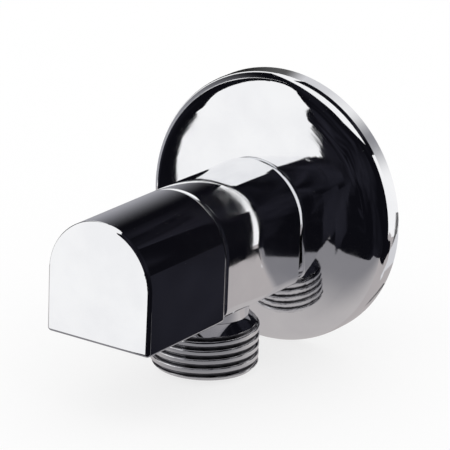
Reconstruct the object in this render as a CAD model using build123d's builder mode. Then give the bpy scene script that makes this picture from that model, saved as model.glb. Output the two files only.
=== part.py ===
from build123d import *
from math import asin, atan2, cos, degrees, radians, sin, sqrt
import os

# Quarter-turn angle valve: chromed arch-section body and handle, loose wall rosette, ceramic cartridge.
# All sizes are in mm. The valve's axis is Y. The wall is the plane y = 0, the user stands at -Y and Z is up.
# "Reach" always means the distance in front of the wall, and a negative reach lies inside the wall.

os.makedirs("parts", exist_ok=True)

# Depth by which a feature is sunk into the solid that it grows from, or a cut passes its wall
merge = 0.5

# Clearances
joint_gap = 0.35
rosette_gap = 0.32
rosette_back_gap = 0.65
turn_gap = 0.45
screw_gap = 0.05
running_gap = 0.04
disc_gap = 0.02
disc_side_gap = 0.1
seal_gap = 0.03
end_gap = 0.4

# Pipe thread G 1/2, drawn as rings at its real pitch, with crests and grooves blunted by the plating
thread_radius = 20.955 / 2
thread_pitch = 1.814
thread_cut = 0.85
thread_crest = 0.72
thread_floor = 0.18
thread_depth = 1.162
thread_chamfer = 0.9
thread_flank = (thread_pitch - thread_crest - thread_floor) / 2
thread_root = thread_radius - thread_depth

# Arch section that the body and the handle share
arch_radius = 11.6
base_drop = 12.0
body_corner = 2.4
handle_corner = 0.8

# Inlet, through the rosette into the wall
inlet_length = 14.0
inlet_bore = 6.6
inlet_relief = 1.4
neck_step = 0.4
neck_radius = thread_radius - neck_step

# Rosette
rosette_radius = 27.0
rosette_lip = 2.6
rosette_shoulder = 5.2
rosette_crown = 100.0
rosette_sheet = 0.8
rosette_hole = thread_radius + rosette_gap
crown_centre = rosette_lip - sqrt(
    (rosette_crown - rosette_shoulder) ** 2 - (rosette_radius - rosette_shoulder) ** 2
)
rosette_front = crown_centre + sqrt(rosette_crown**2 - rosette_hole**2)

# Body
body_length = 24.9
body_edge = 0.45
spigot_root = 2.0
body_back = rosette_front + rosette_back_gap
body_front = body_back + body_length

# Handle
handle_length = 24.45
handle_wall = 1.8
handle_face = 3.0
handle_front_edge = 0.75
handle_back_edge = 0.5
handle_back = body_front + joint_gap
handle_front = handle_back + handle_length
cavity_radius = arch_radius - handle_wall
cavity_front = handle_front - handle_face

# Cartridge chamber in the body, with its seat
seat_depth = 17.3
seat_bore_length = 4.0
seat_cone_length = 2.0
flange_seat = 0.5
mouth_step = 0.75
mouth_depth = 1.15
tapped_depth = 6.8
thread_step = 0.2
flange_radius = cavity_radius - turn_gap
mouth_radius = flange_radius - flange_seat
tapped_radius = mouth_radius - mouth_step
chamber_radius = tapped_radius - thread_step
seat_reach = body_front - seat_depth
tapped_end = body_front - tapped_depth

# Outlet, pointing down just in front of the seat
outlet_length = 14.0
outlet_relief = 1.8
outlet_neck = 8.3
outlet_cone = 2.0
outlet_bore = 6.6
bore_chamfer = 0.5
seat_land = 0.3
outlet_reach = seat_reach + seat_land + outlet_bore
outlet_end = base_drop + outlet_length

# Cartridge housing around the discs
cage_gap = 0.75
cage_wall = 0.95
cage_lift = 1.3
collar_step = 0.45
collar_lead = 0.2
key_width = 2.4
key_bite = 0.55
window_angle = 84
cage_radius = chamber_radius - cage_gap
cage_bore = cage_radius - cage_wall
cage_back = seat_reach + cage_lift
collar_bore = cage_bore - collar_step
key_reach = cage_bore + key_bite

# Ceramic discs, seat seal and its support ring
disc_height = 2.5
port_inner = 1.4
port_rim = 0.9
port_angle = 76
seal_height = 2.8
seal_wall = 0.9
seal_chamfer = 0.3
support_wall = 0.8
support_lift = 0.4
disc_radius = cage_bore - disc_side_gap
port_outer = disc_radius - port_rim
seal_inner = disc_radius - seal_wall
seat_bore = seal_inner - support_wall
fixed_back = seat_reach + seal_height
fixed_front = fixed_back + disc_height
moving_back = fixed_front + disc_gap
moving_front = moving_back + disc_height

# Spindle's collar with its stops and tangs
turn_angle = 90
stop_angle = 28
stop_slack = 1.0
stop_height = 0.65
collar_height = 2.05
flow_height = 2.9
tang_width = 2.0
tang_length = 2.3
tang_bite = 1.2
slip_height = 0.7
lobe_angle = 180 - turn_angle - stop_angle - 2 * stop_slack
lobe_radius = collar_bore - disc_side_gap
stop_radius = collar_bore - stop_height
collar_radius = stop_radius - disc_side_gap
collar_back = moving_front + flow_height
collar_front = collar_back + collar_height
collar_shoulder = collar_front + slip_height + 2 * running_gap
cage_front = collar_back + collar_lead
tang_centre = collar_radius - disc_side_gap - tang_length / 2

# Housing in front of the body
flange_height = 1.0
hex_height = 4.5
hex_inset = 0.1
nose_height = 3.6
nose_wall = 1.8
nose_chamfer = 0.5
thread_undercut = 0.35
hex_back = body_front + flange_height
hex_front = hex_back + hex_height
nose_front = hex_front + nose_height

# Spindle's journal, seal grooves and clip groove
journal_radius = 4.0
groove_inset = 2.7
groove_spacing = 4.0
groove_depth = 1.15
groove_play = 0.35
clip_lift = 0.1
clip_width = 0.8
clip_depth = 0.7
clip_height = 1.2
clip_opening = 50
nose_radius = journal_radius + nose_wall
groove_floor = journal_radius - groove_depth
ring_section = (groove_depth + running_gap) / 2 - seal_gap
ring_centre = groove_floor + seal_gap + ring_section
groove_width = 2 * ring_section + groove_play
groove_first = collar_shoulder + groove_inset
groove_reaches = (groove_first, groove_first + groove_spacing)
clip_back = nose_front + clip_lift
clip_front = clip_back + clip_width
clip_floor = journal_radius - clip_depth

# Spline between the spindle and the handle's boss
spline_teeth = 20
spline_depth = 0.4
spline_inset = 0.05
spline_lead = 0.1
spline_runout = 0.5
spline_valley_share = 0.28
spline_crest_share = 0.22
boss_gap = 1.0
boss_wall = 2.45
socket_floor = 1.5
spline_crest = journal_radius - spline_inset
spline_valley = spline_crest - spline_depth
spline_core = spline_valley - running_gap
boss_radius = spline_crest + boss_wall
boss_back = clip_front + boss_gap
spline_back = boss_back - spline_lead
socket_front = cavity_front - socket_floor
spline_front = socket_front - end_gap

# Grub screw under the handle
grub_radius = 2.0
grub_sunk = 1.2
grub_chamfer = 0.4
grub_key = 2.0
grub_key_depth = 2.4
grub_wall = 2.0
grub_reach = (boss_back + cavity_front) / 2
grub_tip = spline_crest + screw_gap
grub_post = grub_radius + grub_wall

# Drawing plane of the turned pieces: local x is the reach, local y is the height above the axis
turning = Plane(origin=(0, 0, 0), x_dir=(0, -1, 0), z_dir=(-1, 0, 0))
outlet_axis = Axis((0, -outlet_reach, 0), (0, 0, 1))
outlet_turning = Plane(origin=(0, -outlet_reach, 0), x_dir=(1, 0, 0), z_dir=(0, -1, 0))


def at_reach(reach):
    """The plane parallel to the wall at this reach, facing the user."""
    return Plane.XZ.offset(reach)


def arch(reach, half_width, drop, corner):
    """The arch section: a half circle on straight sides, with a flat base and rounded base corners."""
    with BuildSketch(at_reach(reach)) as section:
        with BuildLine():
            Polyline((-half_width, 0), (-half_width, -drop), (half_width, -drop), (half_width, 0))
            ThreePointArc((half_width, 0), (0, half_width), (-half_width, 0))
        make_face()
        fillet(section.vertices().group_by(Axis.Y)[0], radius=corner)
    return section.sketch


def turned(outline, plane=turning):
    """A closed outline of (along, radius) points, ready to be turned about its axis."""
    with BuildSketch(plane) as section:
        with BuildLine():
            Polyline(*outline, close=True)
        make_face()
    return section.sketch


def thread_rings(start, end):
    """(along, radius) corners of the thread between two places on its axis, a groove for each full pitch."""
    corners = []
    for ring in range(int((end - start) / thread_pitch)):
        groove_start = start + ring * thread_pitch + thread_crest
        floor_start = groove_start + thread_flank
        floor_end = floor_start + thread_floor
        corners.append((groove_start, thread_radius))
        corners.append((floor_start, thread_radius - thread_cut))
        corners.append((floor_end, thread_radius - thread_cut))
        corners.append((floor_end + thread_flank, thread_radius))
    return corners


def sector(reach, inner, outer, centre_angle, width_angle):
    """A ring sector around the valve's axis, angles counted anticlockwise as the user sees them."""
    start = centre_angle - width_angle / 2
    first = radians(start)
    last = radians(start + width_angle)
    with BuildSketch(at_reach(reach)) as section:
        with BuildLine():
            CenterArc((0, 0), outer, start, width_angle)
            Line((outer * cos(last), outer * sin(last)), (inner * cos(last), inner * sin(last)))
            CenterArc((0, 0), inner, start + width_angle, -width_angle)
            Line((inner * cos(first), inner * sin(first)), (outer * cos(first), outer * sin(first)))
        make_face()
    return section.sketch


def splined(reach, crest, valley):
    """The section of a spline with straight-sided teeth."""
    step = radians(180 / spline_teeth)
    tooth_corners = (
        (-spline_valley_share, valley),
        (spline_valley_share, valley),
        (1 - spline_crest_share, crest),
        (1 + spline_crest_share, crest),
    )
    outline = []
    for tooth in range(spline_teeth):
        for side, radius in tooth_corners:
            angle = (2 * tooth + side) * step
            outline.append((radius * cos(angle), radius * sin(angle)))
    with BuildSketch(at_reach(reach)) as section:
        with BuildLine():
            Polyline(*outline, close=True)
        make_face()
    return section.sketch


# Valve body: forged prism, threaded inlet and outlet, cartridge chamber with its seat
with BuildPart() as valve_body:
    extrude(arch(body_back, arch_radius, base_drop, body_corner), amount=body_front - body_back)
    fillet(valve_body.faces().sort_by(Axis.Y)[-1].edges(), radius=body_edge)
    fillet(valve_body.faces().sort_by(Axis.Y)[0].edges(), radius=body_edge)
    revolve(
        turned([
            (body_back + spigot_root, 0),
            (body_back + spigot_root, neck_radius),
            (inlet_relief + thread_depth, neck_radius),
            (inlet_relief + thread_depth, thread_root),
            (thread_depth, thread_root),
            (0, thread_radius),
            *[(-along, radius) for along, radius in thread_rings(0, inlet_length - thread_chamfer)],
            (thread_chamfer - inlet_length, thread_radius),
            (-inlet_length, thread_radius - thread_chamfer),
            (-inlet_length, 0),
        ]),
        axis=Axis.Y,
    )
    thread_top = base_drop + outlet_relief + outlet_cone
    revolve(
        turned([
            (0, spigot_root - base_drop),
            (outlet_neck, spigot_root - base_drop),
            (outlet_neck, -base_drop - outlet_relief),
            (thread_radius, -thread_top),
            *[(radius, -along) for along, radius in thread_rings(thread_top, outlet_end - thread_chamfer)],
            (thread_radius, thread_chamfer - outlet_end),
            (thread_radius - thread_chamfer, -outlet_end),
            (0, -outlet_end),
        ], outlet_turning),
        axis=outlet_axis,
    )
    revolve(
        turned([
            (body_front, 0),
            (body_front, mouth_radius),
            (body_front - mouth_depth, mouth_radius),
            (body_front - mouth_depth, tapped_radius),
            (tapped_end, tapped_radius),
            (tapped_end, chamber_radius),
            (seat_reach, chamber_radius),
            (seat_reach, seat_bore),
            (seat_reach - seat_bore_length, seat_bore),
            (seat_reach - seat_bore_length - seat_cone_length, inlet_bore),
            (-inlet_length, inlet_bore),
            (-inlet_length, 0),
        ]),
        axis=Axis.Y,
        mode=Mode.SUBTRACT,
    )
    with BuildSketch(Plane.XY.offset(-outlet_end)):
        with Locations((0, -outlet_reach)):
            Circle(outlet_bore)
    extrude(amount=outlet_end, mode=Mode.SUBTRACT)
    mouth_edges = valve_body.edges().filter_by(GeomType.CIRCLE).group_by(Axis.Z)[0]
    chamfer(mouth_edges.sort_by(SortBy.RADIUS)[0], length=bore_chamfer)
valve_body.part.label = "valve_body"
export_step(valve_body.part, "parts/valve_body.step")

# Rosette: drawn sheet cover with a domed front, a rounded shoulder and a plain hole for the neck
tangent_angle = degrees(atan2(rosette_radius - rosette_shoulder, rosette_lip - crown_centre))
inner_crown = rosette_crown - rosette_sheet
inner_shoulder = rosette_shoulder - rosette_sheet
shoulder_centre = (rosette_lip, rosette_radius - rosette_shoulder)
outer_hole_angle = degrees(asin(rosette_hole / rosette_crown))
inner_hole_angle = degrees(asin(rosette_hole / inner_crown))
with BuildPart() as rosette:
    with BuildSketch(turning):
        with BuildLine():
            Line((0, rosette_radius), (rosette_lip, rosette_radius))
            CenterArc(shoulder_centre, rosette_shoulder, 90, tangent_angle - 90)
            outer = CenterArc((crown_centre, 0), rosette_crown, tangent_angle, outer_hole_angle - tangent_angle)
            inner = CenterArc((crown_centre, 0), inner_crown, inner_hole_angle, tangent_angle - inner_hole_angle)
            Line(outer @ 1, inner @ 0)
            CenterArc(shoulder_centre, inner_shoulder, tangent_angle, 90 - tangent_angle)
            Line((rosette_lip, rosette_radius - rosette_sheet), (0, rosette_radius - rosette_sheet))
            Line((0, rosette_radius - rosette_sheet), (0, rosette_radius))
        make_face()
    revolve(axis=Axis.Y)
rosette.part.label = "rosette"
export_step(rosette.part, "parts/rosette.step")

# Handle: hollow zinc casting with a splined boss and a post for its grub screw
with BuildPart() as handle:
    extrude(arch(handle_back, arch_radius, base_drop, handle_corner), amount=handle_front - handle_back)
    fillet(handle.faces().sort_by(Axis.Y)[0].edges(), radius=handle_front_edge)
    fillet(handle.faces().sort_by(Axis.Y)[-1].edges(), radius=handle_back_edge)
    extrude(
        arch(handle_back, cavity_radius, base_drop - handle_wall, handle_corner),
        amount=cavity_front - handle_back,
        mode=Mode.SUBTRACT,
    )
    with BuildSketch(at_reach(boss_back)):
        Circle(boss_radius)
    extrude(amount=cavity_front - boss_back)
    with BuildSketch(Plane.XY.offset(merge - base_drop)):
        with Locations((0, -grub_reach)):
            Circle(grub_post)
    extrude(amount=base_drop - boss_radius)
    extrude(
        splined(boss_back, spline_crest + screw_gap, spline_valley + screw_gap),
        amount=socket_front - boss_back,
        mode=Mode.SUBTRACT,
    )
    with BuildSketch(Plane.XY.offset(-base_drop)):
        with Locations((0, -grub_reach)):
            Circle(grub_radius + screw_gap)
    extrude(amount=base_drop - spline_valley, mode=Mode.SUBTRACT)
handle.part.label = "handle"
export_step(handle.part, "parts/handle.step")

# Grub screw: hexagon socket, cup point, in the underside of the handle
with BuildPart() as handle_grub_screw:
    with BuildSketch(Plane.XY.offset(grub_sunk - base_drop)):
        with Locations((0, -grub_reach)):
            Circle(grub_radius)
    extrude(amount=base_drop - grub_sunk - grub_tip)
    chamfer(handle_grub_screw.edges().filter_by(GeomType.CIRCLE), length=grub_chamfer)
    with BuildSketch(Plane.XY.offset(grub_sunk - base_drop)):
        with Locations((0, -grub_reach)):
            RegularPolygon(radius=grub_key / 2, side_count=6, major_radius=False)
    extrude(amount=grub_key_depth, mode=Mode.SUBTRACT)
handle_grub_screw.part.label = "handle_grub_screw"
export_step(handle_grub_screw.part, "parts/handle_grub_screw.step")

# Cartridge housing: flange and hexagon in front of the body, thread and slotted cage inside it
with BuildPart() as cartridge_housing:
    revolve(
        turned([
            (cage_back, cage_bore),
            (cage_back, cage_radius),
            (tapped_end + thread_step, cage_radius),
            (tapped_end + thread_step, tapped_radius - running_gap),
            (body_front - mouth_depth, tapped_radius - running_gap),
            (body_front - mouth_depth, tapped_radius - thread_undercut),
            (body_front, tapped_radius - thread_undercut),
            (body_front, flange_radius),
            (hex_back, flange_radius),
            (hex_back, nose_radius),
            (nose_front - nose_chamfer, nose_radius),
            (nose_front, nose_radius - nose_chamfer),
            (nose_front, journal_radius + running_gap),
            (collar_shoulder, journal_radius + running_gap),
            (collar_shoulder, collar_bore),
            (cage_front, collar_bore),
            (cage_front, cage_bore),
        ]),
        axis=Axis.Y,
    )
    with BuildSketch(at_reach(hex_back)):
        RegularPolygon(radius=flange_radius - hex_inset, side_count=6)
        Circle(nose_radius - merge, mode=Mode.SUBTRACT)
    extrude(amount=hex_height)
    for centre_angle in (90, 270):
        extrude(
            sector(cage_front, stop_radius, collar_bore + merge, centre_angle, stop_angle),
            amount=collar_front - cage_front,
        )
        extrude(
            sector(moving_front, cage_bore - merge, cage_radius + merge, centre_angle, window_angle),
            amount=flow_height,
            mode=Mode.SUBTRACT,
        )
    with BuildSketch(at_reach(cage_back)):
        Rectangle(2 * key_reach + 2 * running_gap, key_width + 2 * running_gap)
        Circle(cage_bore - merge, mode=Mode.SUBTRACT)
    extrude(amount=fixed_front - cage_back, mode=Mode.SUBTRACT)
cartridge_housing.part.label = "cartridge_housing"
export_step(cartridge_housing.part, "parts/cartridge_housing.step")

# Housing seal: ring in the mouth of the body, under the housing's flange
seal_floor = tapped_radius - thread_undercut
housing_seal_section = (mouth_radius - seal_floor) / 2 - seal_gap
housing_seal_centre = (mouth_radius + seal_floor) / 2
with BuildPart() as housing_seal:
    with BuildSketch(turning):
        with Locations((body_front - mouth_depth / 2, housing_seal_centre)):
            Circle(housing_seal_section)
    revolve(axis=Axis.Y)
housing_seal.part.label = "housing_seal"
export_step(housing_seal.part, "parts/housing_seal.step")

# Spindle: splined end, clip groove, two seal grooves, collar with stop lobes, two driving tangs
with BuildPart() as spindle:
    spindle_outline = [(collar_back, 0), (collar_back, collar_radius), (collar_front, collar_radius)]
    spindle_outline.append((collar_front, journal_radius))
    for groove in groove_reaches:
        spindle_outline.append((groove - groove_width / 2, journal_radius))
        spindle_outline.append((groove - groove_width / 2, groove_floor))
        spindle_outline.append((groove + groove_width / 2, groove_floor))
        spindle_outline.append((groove + groove_width / 2, journal_radius))
    spindle_outline.append((clip_back, journal_radius))
    spindle_outline.append((clip_back, clip_floor))
    spindle_outline.append((clip_front, clip_floor))
    spindle_outline.append((clip_front, journal_radius))
    spindle_outline.append((spline_back - spline_runout, journal_radius))
    spindle_outline.append((spline_back, spline_core))
    spindle_outline.append((spline_front, spline_core))
    spindle_outline.append((spline_front, 0))
    revolve(turned(spindle_outline), axis=Axis.Y)
    extrude(splined(spline_back, spline_crest, spline_valley), amount=spline_front - spline_runout - spline_back)
    lobe_start = 90 + stop_angle / 2 + lobe_angle / 2 + stop_slack
    for centre_angle in (lobe_start, lobe_start + 180):
        extrude(
            sector(collar_back, collar_radius - merge, lobe_radius, centre_angle, lobe_angle),
            amount=collar_height,
        )
    with BuildSketch(at_reach(moving_front - tang_bite)):
        with Locations((-tang_centre, 0), (tang_centre, 0)):
            Rectangle(tang_length, tang_width)
    extrude(amount=tang_bite + flow_height + merge)
spindle.part.label = "spindle"
export_step(spindle.part, "parts/spindle.step")

# Spindle seals: two rings between the journal and the housing
for name, groove in zip(("spindle_seal_back", "spindle_seal_front"), groove_reaches):
    with BuildPart() as spindle_seal:
        with BuildSketch(turning):
            with Locations((groove, ring_centre)):
                Circle(ring_section)
        revolve(axis=Axis.Y)
    spindle_seal.part.label = name
    export_step(spindle_seal.part, f"parts/{name}.step")

# Slip washer: low-friction ring between the spindle's collar and the housing
with BuildPart() as slip_washer:
    with BuildSketch(at_reach(collar_front + running_gap)):
        Circle(collar_bore - running_gap)
        Circle(journal_radius + running_gap, mode=Mode.SUBTRACT)
    extrude(amount=slip_height)
slip_washer.part.label = "slip_washer"
export_step(slip_washer.part, "parts/slip_washer.step")

# Retaining clip: open spring ring in the spindle's groove
with BuildPart() as retaining_clip:
    extrude(
        sector(
            clip_back + running_gap,
            clip_floor + running_gap,
            journal_radius + clip_height,
            180,
            360 - clip_opening,
        ),
        amount=clip_width - 2 * running_gap,
    )
retaining_clip.part.label = "retaining_clip"
export_step(retaining_clip.part, "parts/retaining_clip.step")

# Moving disc: ceramic, two ports, two blind slots for the tangs
with BuildPart() as moving_disc:
    with BuildSketch(at_reach(moving_back)):
        Circle(disc_radius - running_gap)
    extrude(amount=disc_height)
    for centre_angle in (90, 270):
        extrude(
            sector(moving_back, port_inner, port_outer, centre_angle, port_angle),
            amount=disc_height,
            mode=Mode.SUBTRACT,
        )
    with BuildSketch(at_reach(moving_front - tang_bite - running_gap)):
        with Locations((-tang_centre, 0), (tang_centre, 0)):
            Rectangle(tang_length + 2 * running_gap, tang_width + 2 * running_gap)
    extrude(amount=tang_bite + running_gap, mode=Mode.SUBTRACT)
moving_disc.part.label = "moving_disc"
export_step(moving_disc.part, "parts/moving_disc.step")

# Fixed disc: ceramic, two ports across the moving disc's, keyed to the cage
with BuildPart() as fixed_disc:
    with BuildSketch(at_reach(fixed_back)):
        Circle(disc_radius)
        Rectangle(2 * key_reach, key_width)
    extrude(amount=disc_height)
    for centre_angle in (0, 180):
        extrude(
            sector(fixed_back, port_inner, port_outer, centre_angle, port_angle),
            amount=disc_height,
            mode=Mode.SUBTRACT,
        )
fixed_disc.part.label = "fixed_disc"
export_step(fixed_disc.part, "parts/fixed_disc.step")

# Seat seal: rubber ring pressed between the fixed disc and the body's seat
with BuildPart() as seat_seal:
    revolve(
        turned([
            (seat_reach, seal_inner),
            (seat_reach, disc_radius - seal_chamfer),
            (seat_reach + seal_chamfer, disc_radius),
            (fixed_back, disc_radius),
            (fixed_back, seal_inner),
        ]),
        axis=Axis.Y,
    )
seat_seal.part.label = "seat_seal"
export_step(seat_seal.part, "parts/seat_seal.step")

# Support ring: hard ring that keeps the seat seal round
with BuildPart() as seal_support_ring:
    with BuildSketch(at_reach(seat_reach + support_lift)):
        Circle(seal_inner - seal_gap)
        Circle(seat_bore, mode=Mode.SUBTRACT)
    extrude(amount=seal_height - support_lift)
seal_support_ring.part.label = "seal_support_ring"
export_step(seal_support_ring.part, "parts/seal_support_ring.step")
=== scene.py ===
import math
import bpy
from mathutils import Matrix, Vector


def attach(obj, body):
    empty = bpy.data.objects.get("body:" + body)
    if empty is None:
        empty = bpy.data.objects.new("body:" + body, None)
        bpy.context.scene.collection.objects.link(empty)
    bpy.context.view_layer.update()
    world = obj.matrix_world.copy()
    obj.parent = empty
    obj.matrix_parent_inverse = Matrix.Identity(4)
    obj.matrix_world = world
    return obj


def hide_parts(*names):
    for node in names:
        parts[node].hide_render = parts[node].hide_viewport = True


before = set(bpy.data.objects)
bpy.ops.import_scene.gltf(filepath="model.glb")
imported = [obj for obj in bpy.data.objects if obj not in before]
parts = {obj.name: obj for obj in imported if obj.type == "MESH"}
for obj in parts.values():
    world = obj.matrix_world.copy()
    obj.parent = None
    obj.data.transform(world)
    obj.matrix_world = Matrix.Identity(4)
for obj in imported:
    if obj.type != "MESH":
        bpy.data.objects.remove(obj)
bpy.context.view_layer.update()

# Valve body: a brass forging with an arch section, turned and threaded at the wall inlet and at the
# outlet below, then buffed and chromed as one piece. The CAD solid's threads are plain rings, so this
# copy of it has the real helical threads in their place.
scene = bpy.context.scene
mm = 0.001
pitch = 1.814
groove_depth = 0.85
crest_share = 0.2
groove_share = 0.05
crest_crown = 0.025
edge_round = 0.12
blank_radius = 10.4775
sides = 144
row_step = 0.1
seam = 0.06
outlet_reach = 24.906
outlet_neck = 8.3
outlet_neck_end = 13.8
outlet_cone_start = 15.2
outlet_cone_end = 17.3
outlet_rim = 26.0
inlet_root = 9.3155
inlet_cone_start = -1.162
inlet_rim = 14.0
end_chamfer = 0.9
bore_limit = 8.2
welds_per_mm = 1000
start_slack = 0.005
flat_limit = 0.01
edge_slack = 0.004
edge_reach = 0.15
thread_run_in = 0.3
slope_step = 0.004

# Painted shade in the thread grooves: the chrome's colour is darkened towards the groove floors. This
# stands partly for the thinner plating there and mostly for the shade that falls in the grooves.
groove_shade_starts = 0.2
groove_shade_full = 0.55
unshaded_tone = (1, 1, 1, 1)
groove_shade_tone = (0.2, 0.2, 0.21, 1)
buffed_lines = (500, 2600, 2600)
buffed_relief = 0.0000006
buffed_waves = 0.000004
tint_grain = 140.0
tint_dark_at = 0.35
tint_light_at = 0.65
chrome_dark = (0.86, 0.865, 0.885, 1)
chrome_light = (0.90, 0.905, 0.92, 1)
haze_grain = 320.0
haze_clear_at = 0.3
haze_full_at = 0.75
clear_gloss = 0.025
hazy_gloss = 0.075
wave_grain = 170.0


def chrome_plate(name, line_scale, line_depth, wave_depth, turned=False):
    """Bright chrome: a mirror with slow waves, a breath of haze and straight or turned buffing lines."""
    material = bpy.data.materials.new(name)
    material.use_nodes = True
    tree = material.node_tree
    shader = tree.nodes["Principled BSDF"]
    shader.inputs["Metallic"].default_value = 1.0
    place = tree.nodes.new("ShaderNodeTexCoord")

    tint = tree.nodes.new("ShaderNodeTexNoise")
    tint.inputs["Scale"].default_value = tint_grain
    tint.inputs["Detail"].default_value = 3.0
    tree.links.new(place.outputs["Object"], tint.inputs["Vector"])
    colour = tree.nodes.new("ShaderNodeValToRGB")
    colour.color_ramp.elements[0].position = tint_dark_at
    colour.color_ramp.elements[0].color = chrome_dark
    colour.color_ramp.elements[1].position = tint_light_at
    colour.color_ramp.elements[1].color = chrome_light
    tree.links.new(tint.outputs["Fac"], colour.inputs["Fac"])
    tree.links.new(colour.outputs["Color"], shader.inputs["Base Color"])

    haze = tree.nodes.new("ShaderNodeTexNoise")
    haze.inputs["Scale"].default_value = haze_grain
    haze.inputs["Detail"].default_value = 5.0
    tree.links.new(place.outputs["Object"], haze.inputs["Vector"])
    gloss = tree.nodes.new("ShaderNodeMapRange")
    gloss.inputs["From Min"].default_value = haze_clear_at
    gloss.inputs["From Max"].default_value = haze_full_at
    gloss.inputs["To Min"].default_value = clear_gloss
    gloss.inputs["To Max"].default_value = hazy_gloss
    tree.links.new(haze.outputs["Fac"], gloss.inputs["Value"])
    tree.links.new(gloss.outputs["Result"], shader.inputs["Roughness"])

    stretch = tree.nodes.new("ShaderNodeMapping")
    stretch.inputs["Scale"].default_value = line_scale
    if turned:
        split = tree.nodes.new("ShaderNodeSeparateXYZ")
        tree.links.new(place.outputs["Object"], split.inputs["Vector"])
        flat = tree.nodes.new("ShaderNodeCombineXYZ")
        tree.links.new(split.outputs["X"], flat.inputs["X"])
        tree.links.new(split.outputs["Z"], flat.inputs["Z"])
        reach = tree.nodes.new("ShaderNodeVectorMath")
        reach.operation = "LENGTH"
        tree.links.new(flat.outputs["Vector"], reach.inputs[0])
        turn = tree.nodes.new("ShaderNodeMath")
        turn.operation = "ARCTAN2"
        tree.links.new(split.outputs["Z"], turn.inputs[0])
        tree.links.new(split.outputs["X"], turn.inputs[1])
        round_axis = tree.nodes.new("ShaderNodeCombineXYZ")
        tree.links.new(reach.outputs["Value"], round_axis.inputs["X"])
        tree.links.new(turn.outputs[0], round_axis.inputs["Y"])
        tree.links.new(round_axis.outputs["Vector"], stretch.inputs["Vector"])
    else:
        tree.links.new(place.outputs["Object"], stretch.inputs["Vector"])
    lines = tree.nodes.new("ShaderNodeTexNoise")
    lines.inputs["Scale"].default_value = 1.0
    lines.inputs["Detail"].default_value = 2.0
    tree.links.new(stretch.outputs["Vector"], lines.inputs["Vector"])
    buffing = tree.nodes.new("ShaderNodeBump")
    buffing.inputs["Strength"].default_value = 1.0
    buffing.inputs["Distance"].default_value = line_depth
    tree.links.new(lines.outputs["Fac"], buffing.inputs["Height"])

    waves = tree.nodes.new("ShaderNodeTexNoise")
    waves.inputs["Scale"].default_value = wave_grain
    waves.inputs["Detail"].default_value = 1.0
    tree.links.new(place.outputs["Object"], waves.inputs["Vector"])
    peel = tree.nodes.new("ShaderNodeBump")
    peel.inputs["Strength"].default_value = 1.0
    peel.inputs["Distance"].default_value = wave_depth
    tree.links.new(waves.outputs["Fac"], peel.inputs["Height"])
    tree.links.new(buffing.outputs["Normal"], peel.inputs["Normal"])
    tree.links.new(peel.outputs["Normal"], shader.inputs["Normal"])
    return material


def blunt_min(first, second, blend):
    """The smaller of two radii, with the corner between them rounded off."""
    share = min(max(0.5 + 0.5 * (second - first) / blend, 0.0), 1.0)
    return second + (first - second) * share - blend * share * (1.0 - share)


def thread_cut(phase):
    """How deep the thread is at a point of its pitch: wide crowned crests and narrow grooves."""
    off = abs(phase - round(phase))
    crown = crest_crown * min(off / crest_share, 1.0) ** 2
    flank = (off - crest_share) / (0.5 - groove_share - crest_share)
    flank = min(max(flank, 0.0), 1.0)
    return crown + (groove_depth - crest_crown) * flank * flank * (3.0 - 2.0 * flank)


class ThreadedEnd:
    """A turned and threaded end of the body, measured in mm along its own axis."""

    def __init__(self, origin, across, aside, axis, start, start_radius, rise_from, full, stop):
        self.origin = origin
        self.across = across
        self.aside = aside
        self.axis = axis
        self.start = start
        self.start_radius = start_radius
        self.rise_from = rise_from
        self.full = full
        self.stop = stop

    def radius(self, turn, along):
        """Radius of the threaded surface: cone at the start, thread, chamfer at the end."""
        cut = blank_radius - thread_cut(along / pitch - turn / math.tau)
        rise = (blank_radius - self.start_radius) / (self.full - self.rise_from)
        cone = self.start_radius + rise * max(along - self.rise_from, 0.0)
        chamfer = blank_radius - end_chamfer + (self.stop - along)
        return blunt_min(blunt_min(cut, cone, edge_round), chamfer, edge_round)

    def point(self, turn, along):
        """The place in the frame, in metres."""
        out = self.across * math.cos(turn) + self.aside * math.sin(turn)
        return (self.origin + out * self.radius(turn, along) + self.axis * along) * mm

    def normal(self, turn, along):
        """The outward direction, from two short steps over the surface."""
        along = min(max(along, self.start + slope_step), self.stop - slope_step)
        round_step = slope_step / blank_radius
        round_way = self.point(turn + round_step, along) - self.point(turn - round_step, along)
        long_way = self.point(turn, along + slope_step) - self.point(turn, along - slope_step)
        return round_way.cross(long_way).normalized()

    def measure(self, place):
        """Turn, distance along the axis and distance from it of a place in the frame."""
        local = place / mm - self.origin
        x = local.dot(self.across)
        y = local.dot(self.aside)
        return math.atan2(y, x) % math.tau, local.dot(self.axis), math.hypot(x, y)

    def owns(self, places):
        """True for a face of the CAD solid that the threaded surface stands for."""
        found = [self.measure(place) for place in places]
        alongs = [along for turn, along, radius in found]
        if min(alongs) < self.start - start_slack or max(alongs) - min(alongs) < flat_limit:
            return False
        return min(radius for turn, along, radius in found) > bore_limit


outlet_end = ThreadedEnd(
    origin=Vector((0, -outlet_reach, 0)), across=Vector((1, 0, 0)), aside=Vector((0, -1, 0)),
    axis=Vector((0, 0, -1)), start=outlet_neck_end, start_radius=outlet_neck,
    rise_from=outlet_cone_start, full=outlet_cone_end, stop=outlet_rim,
)
inlet_end = ThreadedEnd(
    origin=Vector((0, 0, 0)), across=Vector((0, 0, 1)), aside=Vector((1, 0, 0)),
    axis=Vector((0, 1, 0)), start=inlet_cone_start, start_radius=inlet_root,
    rise_from=inlet_cone_start, full=0.0, stop=inlet_rim,
)

solid = parts["valve_body"].data
points = []
faces = []
normals = []
seen = {}


def welded(place):
    """The number of the one point at this place."""
    key = tuple(round(value / mm * welds_per_mm) for value in place)
    if key not in seen:
        seen[key] = len(points)
        points.append(place.copy())
    return seen[key]


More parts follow.
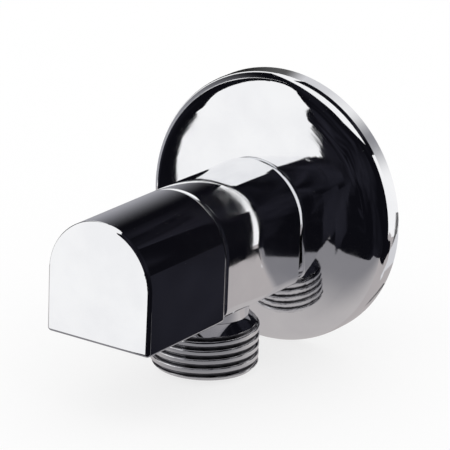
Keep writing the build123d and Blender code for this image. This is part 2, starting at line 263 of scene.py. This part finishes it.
for polygon in solid.polygons:
    places = [solid.vertices[number].co for number in polygon.vertices]
    if outlet_end.owns(places) or inlet_end.owns(places):
        continue
    numbers = [welded(place) for place in places]
    if len(set(numbers)) < 3:
        continue
    faces.append(numbers)
    normals += [solid.corner_normals[loop].vector.copy() for loop in polygon.loop_indices]


def ring_at(end, along):
    """The CAD solid's own points on a round edge, in order of turn."""
    found = []
    for number, place in enumerate(points):
        turn, at, radius = end.measure(place)
        if abs(at - along) < edge_slack and abs(radius - end.radius(turn, along)) < edge_reach:
            found.append((turn, number))
    return sorted(found)


def zip_rings(end, low, low_along, high, high_along):
    """A band of triangles between two closed rings with different numbers of points."""
    low_count = 0
    high_count = 0
    while low_count < len(low) or high_count < len(high):
        low_turn, low_point = low[low_count % len(low)]
        high_turn, high_point = high[high_count % len(high)]
        after_low, after_low_point = low[(low_count + 1) % len(low)]
        after_high, after_high_point = high[(high_count + 1) % len(high)]
        next_low = after_low + math.tau * ((low_count + 1) // len(low))
        next_high = after_high + math.tau * ((high_count + 1) // len(high))
        low_is_next = low_count < len(low) and next_low <= next_high
        if high_count >= len(high) or low_is_next:
            third = (after_low_point, after_low, low_along)
            low_count += 1
        else:
            third = (after_high_point, after_high, high_along)
            high_count += 1
        corners = [(low_point, low_turn, low_along), third, (high_point, high_turn, high_along)]
        faces.append([number for number, turn, along in corners])
        normals.extend(end.normal(turn, along) for number, turn, along in corners)


depths = {}
turns = [math.tau * side / sides for side in range(sides)]
for end in (outlet_end, inlet_end):
    first_ring = ring_at(end, end.start)
    last_ring = ring_at(end, end.stop)
    length = end.stop - end.start - 2 * seam
    rows = round(length / row_step)
    alongs = [end.start + seam + length * row / rows for row in range(rows + 1)]
    grid = []
    slopes = []
    for along in alongs:
        grid.append(range(len(points), len(points) + sides))
        points.extend(end.point(turn, along) for turn in turns)
        slopes.append([end.normal(turn, along) for turn in turns])
        if along > end.full - thread_run_in:
            cuts = [thread_cut(along / pitch - turn / math.tau) for turn in turns]
            depths.update(zip(grid[-1], cuts))
    for row in range(rows):
        for side in range(sides):
            after = (side + 1) % sides
            around = [(row, side), (row, after), (row + 1, after), (row + 1, side)]
            faces.append([grid[at_row][at_side] for at_row, at_side in around])
            normals += [slopes[at_row][at_side] for at_row, at_side in around]
    zip_rings(end, first_ring, end.start, list(zip(turns, grid[0])), alongs[0])
    zip_rings(end, list(zip(turns, grid[-1])), alongs[-1], last_ring, end.stop)

body_mesh = bpy.data.meshes.new("threaded_valve_body")
body_mesh.from_pydata(points, [], faces)
body_mesh.shade_smooth()
body_mesh.normals_split_custom_set(normals)
groove = body_mesh.attributes.new("groove", "FLOAT", "POINT")
for number, depth in depths.items():
    groove.data[number].value = depth / groove_depth
body_chrome = chrome_plate("chrome_on_body", buffed_lines, buffed_relief, buffed_waves)
body_tree = body_chrome.node_tree
# The thread's groove depth darkens the chrome's colour. This is painted shade in the grooves, partly also
# the thinner plating there.
groove_shade_mask = body_tree.nodes.new("ShaderNodeAttribute")
groove_shade_mask.attribute_name = "groove"
groove_shade_ramp = body_tree.nodes.new("ShaderNodeValToRGB")
groove_shade_ramp.color_ramp.elements[0].position = groove_shade_starts
groove_shade_ramp.color_ramp.elements[0].color = unshaded_tone
groove_shade_ramp.color_ramp.elements[1].position = groove_shade_full
groove_shade_ramp.color_ramp.elements[1].color = groove_shade_tone
body_tree.links.new(groove_shade_mask.outputs["Fac"], groove_shade_ramp.inputs["Fac"])
darken = body_tree.nodes.new("ShaderNodeMix")
darken.data_type = "RGBA"
darken.blend_type = "MULTIPLY"
darken.inputs["Factor"].default_value = 1.0
body_shader = body_tree.nodes["Principled BSDF"]
bright = body_shader.inputs["Base Color"].links[0].from_socket
body_tree.links.new(bright, darken.inputs["A"])
body_tree.links.new(groove_shade_ramp.outputs["Color"], darken.inputs["B"])
body_tree.links.new(darken.outputs["Result"], body_shader.inputs["Base Color"])
body_mesh.materials.append(body_chrome)
threaded_body = bpy.data.objects.new("threaded_valve_body", body_mesh)
scene.collection.objects.link(threaded_body)
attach(threaded_body, "valve")
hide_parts("valve_body")

# Seat: a rubber seal ring with a stiff plastic ring inside it, pressed into the seat of the body. Both
# are moulded. The seal is squeezed by the fixed disc and keeps the water out of the gap around it.
grain_dark_at = 0.3
grain_light_at = 0.7


def finish(node, material):
    """Gives a piece that keeps its CAD shape its finish."""
    for slot in parts[node].material_slots:
        slot.material = material


def inner_finish(name, dark, light, metallic, gloss, grain, relief):
    """A surface with grain: colour, gloss and relief all follow one stretched noise."""
    material = bpy.data.materials.new(name)
    material.use_nodes = True
    tree = material.node_tree
    shader = tree.nodes["Principled BSDF"]
    shader.inputs["Metallic"].default_value = metallic
    place = tree.nodes.new("ShaderNodeTexCoord")
    stretch = tree.nodes.new("ShaderNodeMapping")
    stretch.inputs["Scale"].default_value = grain
    tree.links.new(place.outputs["Object"], stretch.inputs["Vector"])
    noise = tree.nodes.new("ShaderNodeTexNoise")
    noise.inputs["Scale"].default_value = 1.0
    noise.inputs["Detail"].default_value = 4.0
    tree.links.new(stretch.outputs["Vector"], noise.inputs["Vector"])
    colour = tree.nodes.new("ShaderNodeValToRGB")
    colour.color_ramp.elements[0].position = grain_dark_at
    colour.color_ramp.elements[0].color = (*dark, 1)
    colour.color_ramp.elements[1].position = grain_light_at
    colour.color_ramp.elements[1].color = (*light, 1)
    tree.links.new(noise.outputs["Fac"], colour.inputs["Fac"])
    tree.links.new(colour.outputs["Color"], shader.inputs["Base Color"])
    rough = tree.nodes.new("ShaderNodeMapRange")
    rough.inputs["From Min"].default_value = grain_dark_at
    rough.inputs["From Max"].default_value = grain_light_at
    rough.inputs["To Min"].default_value = gloss[0]
    rough.inputs["To Max"].default_value = gloss[1]
    tree.links.new(noise.outputs["Fac"], rough.inputs["Value"])
    tree.links.new(rough.outputs["Result"], shader.inputs["Roughness"])
    bump = tree.nodes.new("ShaderNodeBump")
    bump.inputs["Strength"].default_value = 1.0
    bump.inputs["Distance"].default_value = relief
    tree.links.new(noise.outputs["Fac"], bump.inputs["Height"])
    tree.links.new(bump.outputs["Normal"], shader.inputs["Normal"])
    return material


moulded_rubber = inner_finish(
    "moulded_rubber", dark=(0.016, 0.016, 0.017), light=(0.034, 0.034, 0.035), metallic=0.0,
    gloss=(0.5, 0.72), grain=(1500, 1500, 1500), relief=0.000006,
)
moulded_plastic = inner_finish(
    "moulded_plastic", dark=(0.80, 0.79, 0.75), light=(0.90, 0.90, 0.87), metallic=0.0,
    gloss=(0.35, 0.5), grain=(500, 900, 500), relief=0.000004,
)
finish("seat_seal", moulded_rubber)
finish("seal_support_ring", moulded_plastic)

# Discs: two alumina discs with fan-shaped ports, pressed and fired, their meeting faces lapped flat. The
# fixed one is keyed in the cage and the moving one turns with the spindle.
lapped_ceramic = inner_finish(
    "lapped_ceramic", dark=(0.84, 0.83, 0.79), light=(0.94, 0.94, 0.91), metallic=0.0,
    gloss=(0.16, 0.3), grain=(2600, 2600, 2600), relief=0.0000015,
)
finish("fixed_disc", lapped_ceramic)
finish("moving_disc", lapped_ceramic)

# Cartridge: a brass housing and a splined brass spindle, both turned from bar, with rubber rings in their
# grooves, a plastic slip washer under the spindle's collar and a steel clip that holds the spindle in.
turned_brass = inner_finish(
    "turned_brass", dark=(0.66, 0.47, 0.20), light=(0.83, 0.64, 0.33), metallic=1.0,
    gloss=(0.16, 0.34), grain=(300, 9000, 300), relief=0.000003,
)
rolled_steel = inner_finish(
    "rolled_steel", dark=(0.46, 0.46, 0.47), light=(0.64, 0.64, 0.66), metallic=1.0,
    gloss=(0.2, 0.36), grain=(6000, 900, 900), relief=0.000002,
)
finish("cartridge_housing", turned_brass)
finish("spindle", turned_brass)
for seal_ring in ("spindle_seal_back", "spindle_seal_front", "housing_seal"):
    finish(seal_ring, moulded_rubber)
finish("slip_washer", moulded_plastic)
finish("retaining_clip", rolled_steel)

# Rosette: a thin brass sheet drawn into a shallow dome with a rounded shoulder, buffed on a lathe and
# chromed. It slides on the body's neck and hides the hole in the wall.
lathe_lines = (2200, 4, 1)
lathe_relief = 0.0000035
sheet_waves = 0.000006
finish("rosette", chrome_plate("chrome_on_rosette", lathe_lines, lathe_relief, sheet_waves, turned=True))

# Handle: a hollow zinc casting with the body's arch section, buffed and chromed, pushed on the spindle's
# spline. It turns a quarter turn on the valve's axis.
finish("handle", chrome_plate("chrome_on_handle", buffed_lines, buffed_relief, buffed_waves))

# Grub screw: a stainless steel set screw with a hexagon socket, turned up from below through the
# handle's base until its point holds the spindle.
finish("handle_grub_screw", rolled_steel)

# Studio floor: a plain white sheet under even white light from all round, so that it fades into the
# white behind and keeps the valve's soft shadow.
floor_drop = 27.05
shadow_lift = 0.72
floor_level = -floor_drop * mm
far = 3.0
floor_corners = [(-far, -far), (far, -far), (far, far), (-far, far)]
floor_mesh = bpy.data.meshes.new("studio_floor")
floor_mesh.from_pydata([(x, y, floor_level) for x, y in floor_corners], [], [(0, 1, 2, 3)])
floor = bpy.data.objects.new("studio_floor", floor_mesh)
scene.collection.objects.link(floor)
floor_paint = bpy.data.materials.new("floor_paint")
floor_paint.use_nodes = True
floor_tree = floor_paint.node_tree
floor_shader = floor_tree.nodes["Principled BSDF"]
floor_shader.inputs["Base Color"].default_value = (1, 1, 1, 1)
floor_shader.inputs["Roughness"].default_value = 1.0
floor_shader.inputs["Specular IOR Level"].default_value = 0.0
bare_white = floor_tree.nodes.new("ShaderNodeEmission")
seen_by = floor_tree.nodes.new("ShaderNodeLightPath")
camera_or_chrome = floor_tree.nodes.new("ShaderNodeMath")
camera_or_chrome.operation = "MAXIMUM"
floor_tree.links.new(seen_by.outputs["Is Camera Ray"], camera_or_chrome.inputs[0])
floor_tree.links.new(seen_by.outputs["Is Glossy Ray"], camera_or_chrome.inputs[1])
any_seen = floor_tree.nodes.new("ShaderNodeMath")
any_seen.operation = "MAXIMUM"
floor_tree.links.new(camera_or_chrome.outputs[0], any_seen.inputs[0])
floor_tree.links.new(seen_by.outputs["Is Transmission Ray"], any_seen.inputs[1])
lift = floor_tree.nodes.new("ShaderNodeMath")
lift.operation = "MULTIPLY"
lift.inputs[1].default_value = shadow_lift
floor_tree.links.new(any_seen.outputs[0], lift.inputs[0])
sheet_mix = floor_tree.nodes.new("ShaderNodeMixShader")
floor_tree.links.new(lift.outputs[0], sheet_mix.inputs["Fac"])
floor_tree.links.new(floor_shader.outputs["BSDF"], sheet_mix.inputs[1])
floor_tree.links.new(bare_white.outputs["Emission"], sheet_mix.inputs[2])
floor_tree.links.new(sheet_mix.outputs["Shader"], floor_tree.nodes["Material Output"].inputs["Surface"])
floor_mesh.materials.append(floor_paint)

world = bpy.data.worlds.new("studio_light")
scene.world = world
world.use_nodes = True
sky = world.node_tree.nodes["Background"]
sky.inputs["Color"].default_value = (1, 1, 1, 1)
sky.inputs["Strength"].default_value = 1.0

# Studio cards: black flags and grey sheets around the valve, as a photographer sets them for chrome.
# Only mirroring surfaces see them: they throw no shadow, take no light and stay out of the picture.
# Their shades are painted on and glow, a painted reflection: the floor sheets show grey where the camera
# sees a white floor, and the lip cards set the bands on the rosette's lip.
black = (0.004, 0.004, 0.006)
cloth_sheen = (0.02, 0.02, 0.028)
dark_grey = (0.02, 0.02, 0.02)
sky_grey = (0.36, 0.36, 0.39)
white = (1.0, 1.0, 1.0)
near_grey = (0.50, 0.475, 0.475)
front_grey = (0.24, 0.235, 0.25)
lip_bright = (0.9, 0.9, 0.9)
lip_light = (0.7, 0.7, 0.72)
lip_dark = (0.3, 0.3, 0.32)
line_grey = (0.1, 0.1, 0.1)
rear_grey = (0.46, 0.43, 0.43)
fold_grain = 15.0
fold_twist = 0.8
fold_dark_at = 0.45
fold_light_at = 0.75
ring_steps = 48
right = 60
left = -64
top = 64
front = -200
low = -26.9
reach = 400
over = low + 0.05


def card_paint(name):
    """A card that shows its own shade and takes no light, with its tree and its shade's socket."""
    paint = bpy.data.materials.new(name)
    paint.use_nodes = True
    tree = paint.node_tree
    tree.nodes.remove(tree.nodes["Principled BSDF"])
    glow = tree.nodes.new("ShaderNodeEmission")
    tree.links.new(glow.outputs["Emission"], tree.nodes["Material Output"].inputs["Surface"])
    return paint, tree, glow.inputs["Color"]


def flat_paint(name, shade):
    """One shade all over."""
    paint, tree, socket = card_paint(name)
    socket.default_value = (*shade, 1)
    return paint


def fading_paint(name, stops, along):
    """Shades at stops along a direction, in mm, or at turns from the top to the left, in degrees."""
    paint, tree, socket = card_paint(name)
    place = tree.nodes.new("ShaderNodeTexCoord")
    unit = math.radians(1) if along is None else mm
    first = stops[0][0]
    last = stops[-1][0]
    fade = tree.nodes.new("ShaderNodeMapRange")
    fade.inputs["From Min"].default_value = first * unit
    fade.inputs["From Max"].default_value = last * unit
    if along is None:
        split = tree.nodes.new("ShaderNodeSeparateXYZ")
        tree.links.new(place.outputs["Object"], split.inputs["Vector"])
        leftward = tree.nodes.new("ShaderNodeMath")
        leftward.operation = "MULTIPLY"
        leftward.inputs[1].default_value = -1.0
        tree.links.new(split.outputs["X"], leftward.inputs[0])
        turn = tree.nodes.new("ShaderNodeMath")
        turn.operation = "ARCTAN2"
        tree.links.new(leftward.outputs[0], turn.inputs[0])
        tree.links.new(split.outputs["Z"], turn.inputs[1])
        tree.links.new(turn.outputs[0], fade.inputs["Value"])
    else:
        measure = tree.nodes.new("ShaderNodeVectorMath")
        measure.operation = "DOT_PRODUCT"
        measure.inputs[1].default_value = along
        tree.links.new(place.outputs["Object"], measure.inputs[0])
        tree.links.new(measure.outputs["Value"], fade.inputs["Value"])
    shade = tree.nodes.new("ShaderNodeValToRGB")
    shade.color_ramp.interpolation = "EASE"
    while len(shade.color_ramp.elements) < len(stops):
        shade.color_ramp.elements.new(0.5)
    for element, (at, tone) in zip(shade.color_ramp.elements, stops):
        element.position = (at - first) / (last - first)
        element.color = (*tone, 1)
    tree.links.new(fade.outputs["Result"], shade.inputs["Fac"])
    tree.links.new(shade.outputs["Color"], socket)
    return paint


def card(name, corners, paint):
    """A flat card of the studio that shows in the chrome and nowhere else."""
    mesh = bpy.data.meshes.new(name)
    mesh.from_pydata([Vector(corner) * mm for corner in corners], [], [range(len(corners))])
    mesh.materials.append(paint)
    flag = bpy.data.objects.new(name, mesh)
    scene.collection.objects.link(flag)
    flag.visible_camera = False
    flag.visible_diffuse = False
    flag.visible_shadow = False


def ring_corners(depth, wide, high, outer, start, stop):
    """A part of a flat ring with an oval hole, between two turns from the right over the top."""
    share = (stop - start) / ring_steps
    turns = [math.radians(start + share * step) for step in range(ring_steps + 1)]
    hole = [(wide * math.cos(turn), depth, high * math.sin(turn)) for turn in turns]
    rim = [(outer * math.cos(turn), depth, outer * math.sin(turn)) for turn in reversed(turns)]
    return hole + rim


# The black cards carry painted sheen: a stretched noise lightens them in streaks, as lit folds of cloth
# would show.
black_paint, cloth_tree, cloth_shade = card_paint("black_cloth")
fold_sheen_noise = cloth_tree.nodes.new("ShaderNodeTexNoise")
fold_sheen_noise.inputs["Scale"].default_value = fold_grain
fold_sheen_noise.inputs["Detail"].default_value = 3.0
fold_sheen_noise.inputs["Distortion"].default_value = fold_twist
cloth_place = cloth_tree.nodes.new("ShaderNodeTexCoord")
cloth_tree.links.new(cloth_place.outputs["Object"], fold_sheen_noise.inputs["Vector"])
cloth_tone = cloth_tree.nodes.new("ShaderNodeValToRGB")
cloth_tone.color_ramp.elements[0].position = fold_dark_at
cloth_tone.color_ramp.elements[0].color = (*black, 1)
cloth_tone.color_ramp.elements[1].position = fold_light_at
cloth_tone.color_ramp.elements[1].color = (*cloth_sheen, 1)
cloth_tree.links.new(fold_sheen_noise.outputs["Fac"], cloth_tone.inputs["Fac"])
cloth_tree.links.new(cloth_tone.outputs["Color"], cloth_shade)
ring_paint = fading_paint("ring_card", [(15, black), (85, sky_grey)], None)
rear_paint = fading_paint("rear_card", [(0, lip_light), (14, line_grey), (40, dark_grey)], None)
lip_paint = fading_paint(
    "lip_card", [(-75, white), (-42, lip_dark), (-15, lip_bright), (12, lip_light)], None,
)
floor_fade = fading_paint("floor_card", [(-52, front_grey), (-16, near_grey)], (-0.6, 1, 0))
line_paint = flat_paint("line_card", line_grey)

card("ring_right_flag", ring_corners(
    depth=0, wide=31.8, high=30.4, outer=90, start=-19, stop=40,
), black_paint)
card("ring_right_slant", [(24.4, 0, 19.5), (68.9, 0, 57.9), (42.3, 0, 79.5)], black_paint)
card("ring_left_flag", ring_corners(
    depth=0, wide=31.8, high=30.4, outer=64, start=98, stop=190,
), ring_paint)
card("ring_left_slant", [(-4.4, 0, 30.1), (-12.5, 0, 89.1), (27.8, 0, 85.6)], black_paint)
card("ring_far_flag", ring_corners(
    depth=100, wide=110.4, high=109, outer=190, start=36, stop=110,
), black_paint)
card("rear_left_flag", ring_corners(
    depth=12, wide=24, high=24, outer=38.5, start=92, stop=215,
), rear_paint)
card("lip_sheet", ring_corners(
    depth=101, wide=80, high=80, outer=108, start=-10, stop=150,
), lip_paint)
card("handle_flag", [
    (13.5, -57.8, -15.6), (13.5, -32.8, -15.6), (13.5, -32.8, 4), (13.5, -57.8, 4),
], black_paint)
card("right_flag", [
    (right, -reach, low), (right, 0, low), (right, 0, top), (right, -reach, top),
], black_paint)
card("top_flag", [
    (left, -26, top), (-52, -19.3, top), (-33.7, -10.7, top), (-19.8, -6.7, top), (-12, -6.6, top),
    (-5.6, -9.9, top), (-2.5, -13.5, top), (5.3, -47.7, top), (8, -reach, top), (right, -reach, top),
    (right, 0, top), (left, 0, top),
], black_paint)
card("front_flag", [
    (-24, front, low), (200, front, low), (200, front, 260), (-4, front, 260), (-12, front, 217),
    (-53, front, 28), (-45, front, 20), (-39, front, 14),
], black_paint)
card("left_flag", [
    (left, -39, low), (left, 0, low), (left, 0, top), (left, -26, top), (left, -29, 52), (left, -31, 42),
    (left, -46, 24), (left, -50, 12), (left, -42, 3), (left, -39, -5),
], black_paint)
card("floor_sheet", [
    (-100, -75, low), (right, -75, low), (right, 0, low), (-100, 0, low),
], floor_fade)
card("floor_rear_sheet", [
    (-100, 0, low), (90, 0, low), (90, 60, low), (-100, 60, low),
], flat_paint("rear_sheet", rear_grey))
card("floor_rear_flag", [
    (51, 10, over), (60, 0, over), (95, 0, over), (95, 30, over), (66, 48, over), (60, 46, over),
    (51, 38, over),
], black_paint)
card("lip_low_sheet", [
    (28.3, 6, -17), (31, 6, -17), (31, 6, -3), (28.3, 6, -3),
], flat_paint("lip_low_card", lip_light))
card("floor_front_flag", [
    (-28, -reach, over), (right, -reach, over), (right, -22, over), (53, -26, over), (45, -38, over),
    (36, -48, over), (24, -56, over), (12, -61, over), (2, -72, over), (-6, -68, over),
], black_paint)
card("lip_line", ring_corners(
    depth=10, wide=33.5, high=33.5, outer=34.2, start=-16, stop=3,
), line_paint)
card("lip_low_line", ring_corners(
    depth=10, wide=31.35, high=31.35, outer=31.8, start=-56, stop=-36,
), line_paint)

# Camera: a long lens at the photograph's viewing angle, to the right of the valve and a little above it,
# held with a slight roll. Its distances are in mm.
photo_width = 450
film_width = 36
nearest_seen = 0.01
turn_right = math.radians(33.73)
look_down = math.radians(19.14)
roll = math.radians(2.17)
camera_distance = 700.0
focal_pixels = 3586.1
aim_right = -10.931
aim_up = -4.476
back_way = Vector((
    math.sin(turn_right) * math.cos(look_down),
    -math.cos(turn_right) * math.cos(look_down),
    math.sin(look_down),
))
level_right = Vector((math.cos(turn_right), math.sin(turn_right), 0))
level_up = back_way.cross(level_right)
image_right = level_right * math.cos(roll) + level_up * math.sin(roll)
image_up = level_up * math.cos(roll) - level_right * math.sin(roll)
lens = bpy.data.cameras.new("long_lens")
lens.sensor_width = film_width
lens.lens = focal_pixels / photo_width * film_width
lens.clip_start = nearest_seen
camera = bpy.data.objects.new("camera", lens)
eye = (back_way * camera_distance + image_right * aim_right + image_up * aim_up) * mm
facing = Matrix((image_right, image_up, back_way)).transposed().to_4x4()
camera.matrix_world = Matrix.Translation(eye) @ facing
scene.collection.objects.link(camera)
scene.camera = camera
scene.view_settings.view_transform = "Standard"
